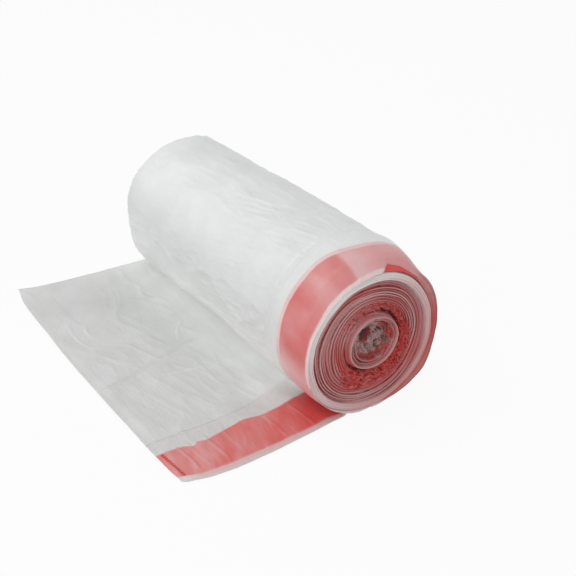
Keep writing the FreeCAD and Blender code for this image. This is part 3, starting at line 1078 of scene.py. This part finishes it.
        # The tape's inner edge steps where its folds pull it, and its outer edge bows
        inner = ragged + np.interp(
            y,
            [-142, -131, -127, -122, -119.5, -117.5, -111, -106, -82, -74, -66, -49, -29],
            [92.6, 92.8, 93.6, 97.2, 96.9, 94.6, 96.6, 95.4, 91.7, 92.3, 94.1, 91.6, 87.0],
        )
        outer = 0.4 * ragged + np.interp(
            y,
            [-145, -139.7, -131, -118, -104, -74, -43, -29],
            [118, 119.9, 123, 124.6, 125.2, 123.8, 121.6, 119.4],
        )
        strip = step(-0.6, 0.6, x - inner) * fall(-0.8, 0.9, x - outer)
        cloud = Noise(103).layers(x / 16, y / 13, 3)
        # Redder in two steps towards the roll; the step by the roll stands partly for painted shade where the
        # roll overhangs the tape
        depth = 0.46 + 0.15 * step(-125, -95, y) + 0.22 * step(-70, -18, y)
        depth = depth + 0.10 * cloud - 0.26 * (self.ribs(x, y) - 0.4) - 0.13 * self.pleats(x, y)
        beside = 0.16 * step(-1, 1, x - outer) * fall(2.0, 7.0, x - outer) * step(-146, -126, y)
        weld = bell(y + 141.4 - 0.07 * (x - 106), 0.0, 1.1) * strip
        return strip * depth + beside + 0.05 * step(0.5, 2.5, x - self.seal(y)) + 0.3 * weld

    def shadow(self, x: np.ndarray, y: np.ndarray, red: np.ndarray) -> np.ndarray:
        """Share of shadow: painted shade in thin lines beside the seal and the middle fold, and a greyer bare
        hem.

        Args:
            x: Place along the roll's axis, in mm.
            y: Place across it, in mm.
            red: Share of red.

        Returns:
            The share of shadow.
        """
        from_seal = x - self.seal(y)
        bare = fall(0.08, 0.3, red) * step(-0.5, 1.0, from_seal) * fall(118, 121, x)
        return 0.05 * bare + 0.1 * bell(from_seal, 0.0, 0.7) + 0.06 * self.middle(x + 1.2, y)

    def tone(self, x: np.ndarray, y: np.ndarray) -> np.ndarray:
        """Painted light of the two panels: lighter by the roll, where light would get under the film, less so
        over the hem, lighter at the back end, a soft darker patch and painted highlights on the sharp folds.

        Args:
            x: Place along the roll's axis, in mm.
            y: Place across it, in mm.

        Returns:
            The painted light, where 1 is even.
        """
        light = step(-70, -44, y) * (0.19 + 0.07 * step(20, 70, x) - 0.1 * step(76, 84, x))
        patch = 0.08 * bell(x, -88, 28) * bell(y, -90, 24)
        return 1 + light - patch + 0.06 * fall(-130, -108, x) + 0.1 * self.glints(x, y)

    def build(self) -> Object:
        """Make the sheet, as thick as two panels of film.

        Returns:
            The new piece.
        """
        x, y = self.outline()
        z = self.height(x, y)
        from_side = np.minimum(x - x[:, :1], x[:, -1:] - x)
        z = mixed(self.lowest, z, 0.35 + 0.65 * step(0, 6, from_side))
        # The sheet leaves the floor round a quarter turn and more, until it meets the roll
        radius, start = self.bend(x[-1:])
        meets = np.arctan2(self.roll_radius(x[-1:]) - radius, -start)
        share = np.linspace(0.02, 1, self.curve_rows)[:, None]
        turn = mixed(-np.pi / 2, meets + 0.1, share)
        curve_x = np.repeat(x[-1:], self.curve_rows, axis=0)
        curve_y = y[-1:] + radius * np.cos(turn)
        curve_z = z[-1:] + radius * (1 + np.sin(turn))
        flat, curve = np.stack([x, y, z], axis=-1), np.stack([curve_x, curve_y, curve_z], axis=-1)
        # A line of shade is left on the curve, where the roll stands over the film
        shade = 1 - 0.08 * step(0.02, 0.3, share)
        red = self.tint(x, y)
        fields = []
        for values, curved in ((red, 1.0), (self.shadow(x, y, red), 1.0), (self.tone(x, y), shade)):
            rest = np.repeat(values[-1:], self.curve_rows, axis=0) * curved
            fields.append(np.concatenate([values, rest], axis=0))
        piece = Surface(np.concatenate([flat, curve], axis=0), *fields).build("first_bag")
        wall = piece.modifiers.new("film", "SOLIDIFY")
        wall.thickness = self.thick * MM
        wall.offset = -1.0
        return piece


@dataclass
class TapeWeld:
    """Short dark dashes where the tape is welded across near the free edge."""

    bag: FirstBag
    dashes: int = 12
    length: float = 1.7
    width: float = 2.6
    ends: tuple[float, float, float, float] = (93.2, -142.4, 119.3, -140.4)

    def build(self) -> Object:
        """Make one low dome for each dash: one minus the fourth power, both ways.

        Returns:
            The new piece.
        """
        share = (np.arange(self.dashes) + 0.5) / self.dashes
        side = np.linspace(-1, 1, 7)
        gx, gy = np.meshgrid(side, side, indexing="ij")
        dome = (1 - gx**4) * (1 - gy**4)
        x = mixed(self.ends[0], self.ends[2], share)[:, None, None] + gx * self.length / 2 + 0.4 * gy
        y = mixed(self.ends[1], self.ends[3], share)[:, None, None] + gy * self.width / 2
        z = self.bag.height(x, y) - 0.1 + 0.9 * dome
        pieces = []
        for k in range(self.dashes):
            points = np.stack([x[k], y[k], z[k]], axis=-1)
            pad = Surface(points, np.ones_like(dome), np.full_like(dome, 0.6))
            pieces.append(pad.build(f"weld_{k}"))
        with bpy.context.temp_override(active_object=pieces[0], selected_editable_objects=pieces):
            bpy.ops.object.join()
        pieces[0].name = "tape_weld"
        return pieces[0]


@dataclass
class Studio:
    """Floor, lights and camera."""

    lens: float = 86.2
    sensor: float = 36.0
    camera_place: tuple[float, float, float] = (0.7204, -0.4124, 0.5498)
    camera_back: tuple[float, float, float] = (0.71064, -0.47014, 0.52348)
    floor_half: float = 4.0
    # How white the floor is made where it is seen, and how strong the fill is all round
    floor_glow: float = 0.91
    fill: float = 0.56
    # Lamps, each with its place and the side of its square in metres, and its watts
    lamps: tuple[tuple[str, tuple[float, float, float], float, float], ...] = (
        ("key", (-0.35, -0.45, 1.1), 0.8, 3.2),
        ("front", (0.1, -1.15, 0.42), 0.9, 3.0),
        ("side", (1.1, -0.2, 0.7), 0.8, 2.2),
    )

    def close(self, tree: NodeTree, output: str, shaders: tuple[Node, ...], share: float) -> None:
        """End a tree in one shader, with another mixed in for the rays that show the background.

        Those are the rays with the camera, transmission or glossy flag: the largest of the three.

        Args:
            tree: Node tree of the floor or the world.
            output: Blender's name for the kind of output node.
            shaders: The shader that lights the scene, and the one that is seen.
            share: How much of the second one is seen.
        """
        path = add_node(tree, "ShaderNodeLightPath", {}, {})
        flag = path.outputs["Is Camera Ray"]
        for kind in ("Is Transmission Ray", "Is Glossy Ray"):
            flag = add_math(tree, "MAXIMUM", flag, path.outputs[kind])
        seen = add_math(tree, "MULTIPLY", flag, share)
        links = {0: seen, 1: shaders[0].outputs[0], 2: shaders[1].outputs[0]}
        both = add_node(tree, "ShaderNodeMixShader", {}, links)
        add_node(tree, output, {}, {"Surface": both.outputs[0]})

    def floor(self) -> None:
        """Make a pale floor that shows nearly white, with the roll's shadow kept."""
        half = self.floor_half
        mesh = bpy.data.meshes.new("floor")
        corners = [(-half, -half, 0), (half, -half, 0), (half, half, 0), (-half, half, 0)]
        mesh.from_pydata(corners, [], [(0, 1, 2, 3)])
        floor = bpy.data.objects.new("floor", mesh)
        bpy.context.collection.objects.link(floor)
        # Matt white paper: no gloss, and nearly all light comes back
        material = bpy.data.materials.new("matt_white_paper_sweep")
        material.use_nodes = True
        tree = material.node_tree
        tree.nodes.clear()
        paper = add_node(tree, "ShaderNodeBsdfDiffuse", {"Color": linear("F2F2F2")}, {})
        glow = add_node(tree, "ShaderNodeEmission", {"Color": linear("FFFFFF"), "Strength": 1.0}, {})
        self.close(tree, "ShaderNodeOutputMaterial", (paper, glow), self.floor_glow)
        mesh.materials.append(material)
        floor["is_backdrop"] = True

    def world(self) -> None:
        """Make the soft fill from all round, which the camera and reflections see as white."""
        world = bpy.data.worlds.new("studio")
        world.use_nodes = True
        tree = world.node_tree
        tree.nodes.clear()
        fill, backdrop = (
            add_node(tree, "ShaderNodeBackground", {"Color": linear("FFFFFF"), "Strength": strength}, {})
            for strength in (self.fill, 1.0)
        )
        self.close(tree, "ShaderNodeOutputWorld", (fill, backdrop), 1.0)
        bpy.context.scene.world = world

    def lamp(self, name: str, place: tuple[float, float, float], size: float, power: float) -> None:
        """Add one soft square lamp that faces the roll.

        Args:
            name: Name of the lamp.
            place: Where it hangs, in metres.
            size: Side of the square, in metres.
            power: Watts.
        """
        data = bpy.data.lights.new(name, "AREA")
        data.size, data.energy = size, power
        lamp = bpy.data.objects.new(name, data)
        lamp.location = place
        lamp.rotation_euler = (Vector(place) - Vector((0, 0, 0.05))).to_track_quat("Z", "Y").to_euler()
        bpy.context.collection.objects.link(lamp)

    def camera(self) -> None:
        """Place the camera as it stood for the photograph."""
        back = Vector(self.camera_back).normalized()
        right = Vector((-back.y, back.x, 0)).normalized()
        up = back.cross(right)
        data = bpy.data.cameras.new("camera")
        data.lens, data.sensor_width = self.lens, self.sensor
        data.clip_end = 20.0
        camera = bpy.data.objects.new("camera", data)
        turn = Matrix((right, up, back)).transposed().to_4x4()
        camera.matrix_world = Matrix.Translation(self.camera_place) @ turn
        bpy.context.collection.objects.link(camera)
        bpy.context.scene.camera = camera

    def build(self) -> None:
        """Set the view transform and place everything."""
        bpy.context.scene.view_settings.view_transform = "Standard"
        self.floor()
        self.world()
        for lamp in self.lamps:
            self.lamp(*lamp)
        self.camera()


@dataclass
class BagRoll:
    """The whole roll: its pieces, their finishes and the CAD nodes that they stand for."""

    def dress(self, piece: Object, finish: Material, slot: str, *nodes: str) -> None:
        """Give a piece its material and its body, hide the CAD nodes that it stands for, and report it.

        Args:
            piece: The piece.
            finish: Its material.
            slot: The record's material slot; not used.
            nodes: The CAD nodes that it stands for.
        """
        piece.data.materials.clear()
        piece.data.materials.append(finish)
        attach(piece, "root")
        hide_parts(*nodes)
        LOG.info("%s: %d vertices, %s", piece.name, len(piece.data.vertices), finish.name)

    def build(self) -> None:
        """Build and dress each piece in turn."""
        # Film wound tight is milky and even; the layers below whiten it
        wound = FilmFinish("wound_blown_polyethylene_film").build()
        # Two panels on the floor let the grey below through, so they look a little darker
        laid = FilmFinish(
            "laid_blown_polyethylene_film",
            clear="D8D9D8",
            cloudy="D0D1CF",
            veiled="DB9C9B",
            strong="D8625E",
            crease_mm=3.4,
            crease_depth=0.4,
        ).build()
        # Cut edges of film and crushed tape: darker, with light caught on sharp crests
        edges = FilmFinish(
            "cut_film_edges_and_crushed_tape",
            clear="D9CECC",
            cloudy="CBBFBD",
            veiled="CB9090",
            strong="BE4F4C",
            bare="D73731",
            deep="4E100F",
            roughness=0.3,
            crease_mm=1.3,
            crease_depth=0.35,
        ).build()
        # Plain end: the same film with no tape in it, and grey painted shade
        white_edges = FilmFinish("cut_white_film_edges", deep="8E908F", crease_mm=1.6).build()
        # Bare draw tape: thick, smooth and a strong red
        tape = FilmFinish(
            "extruded_red_polyethylene_tape",
            strong="D8524E",
            deep="8E1C1A",
            roughness=0.3,
            crease_mm=3.0,
        ).build()
        roll = RollFilm()
        bag = FirstBag()
        self.dress(roll.build(), wound, "film", "bag_web")
        self.dress(roll.rim.build(), wound, "film", "bag_web")
        self.dress(EndTurns(End.MOUTH).build(), edges, "tape", "bag_web", "wound_tapes")
        self.dress(EndTurns(End.PLAIN).build(), white_edges, "film", "bag_web")
        self.dress(NotchTape(roll).build(), tape, "tape", "lead_bag_tape")
        sheet = bag.build()
        self.dress(sheet, laid, "film", "bag_web")
        weld = TapeWeld(bag).build()
        self.dress(weld, tape, "tape", "lead_bag_tape")


def main() -> None:
    """Build the roll and the studio, and measure the model's size before and after."""
    logging.basicConfig(level=logging.INFO, format="%(message)s")
    boxes = {"cad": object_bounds()}
    Studio().build()
    BagRoll().build()
    boxes["visual"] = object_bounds()
    plain = {key: [[float(c) for c in corner] for corner in box] for key, box in boxes.items()}


if __name__ == "__main__":
    main()
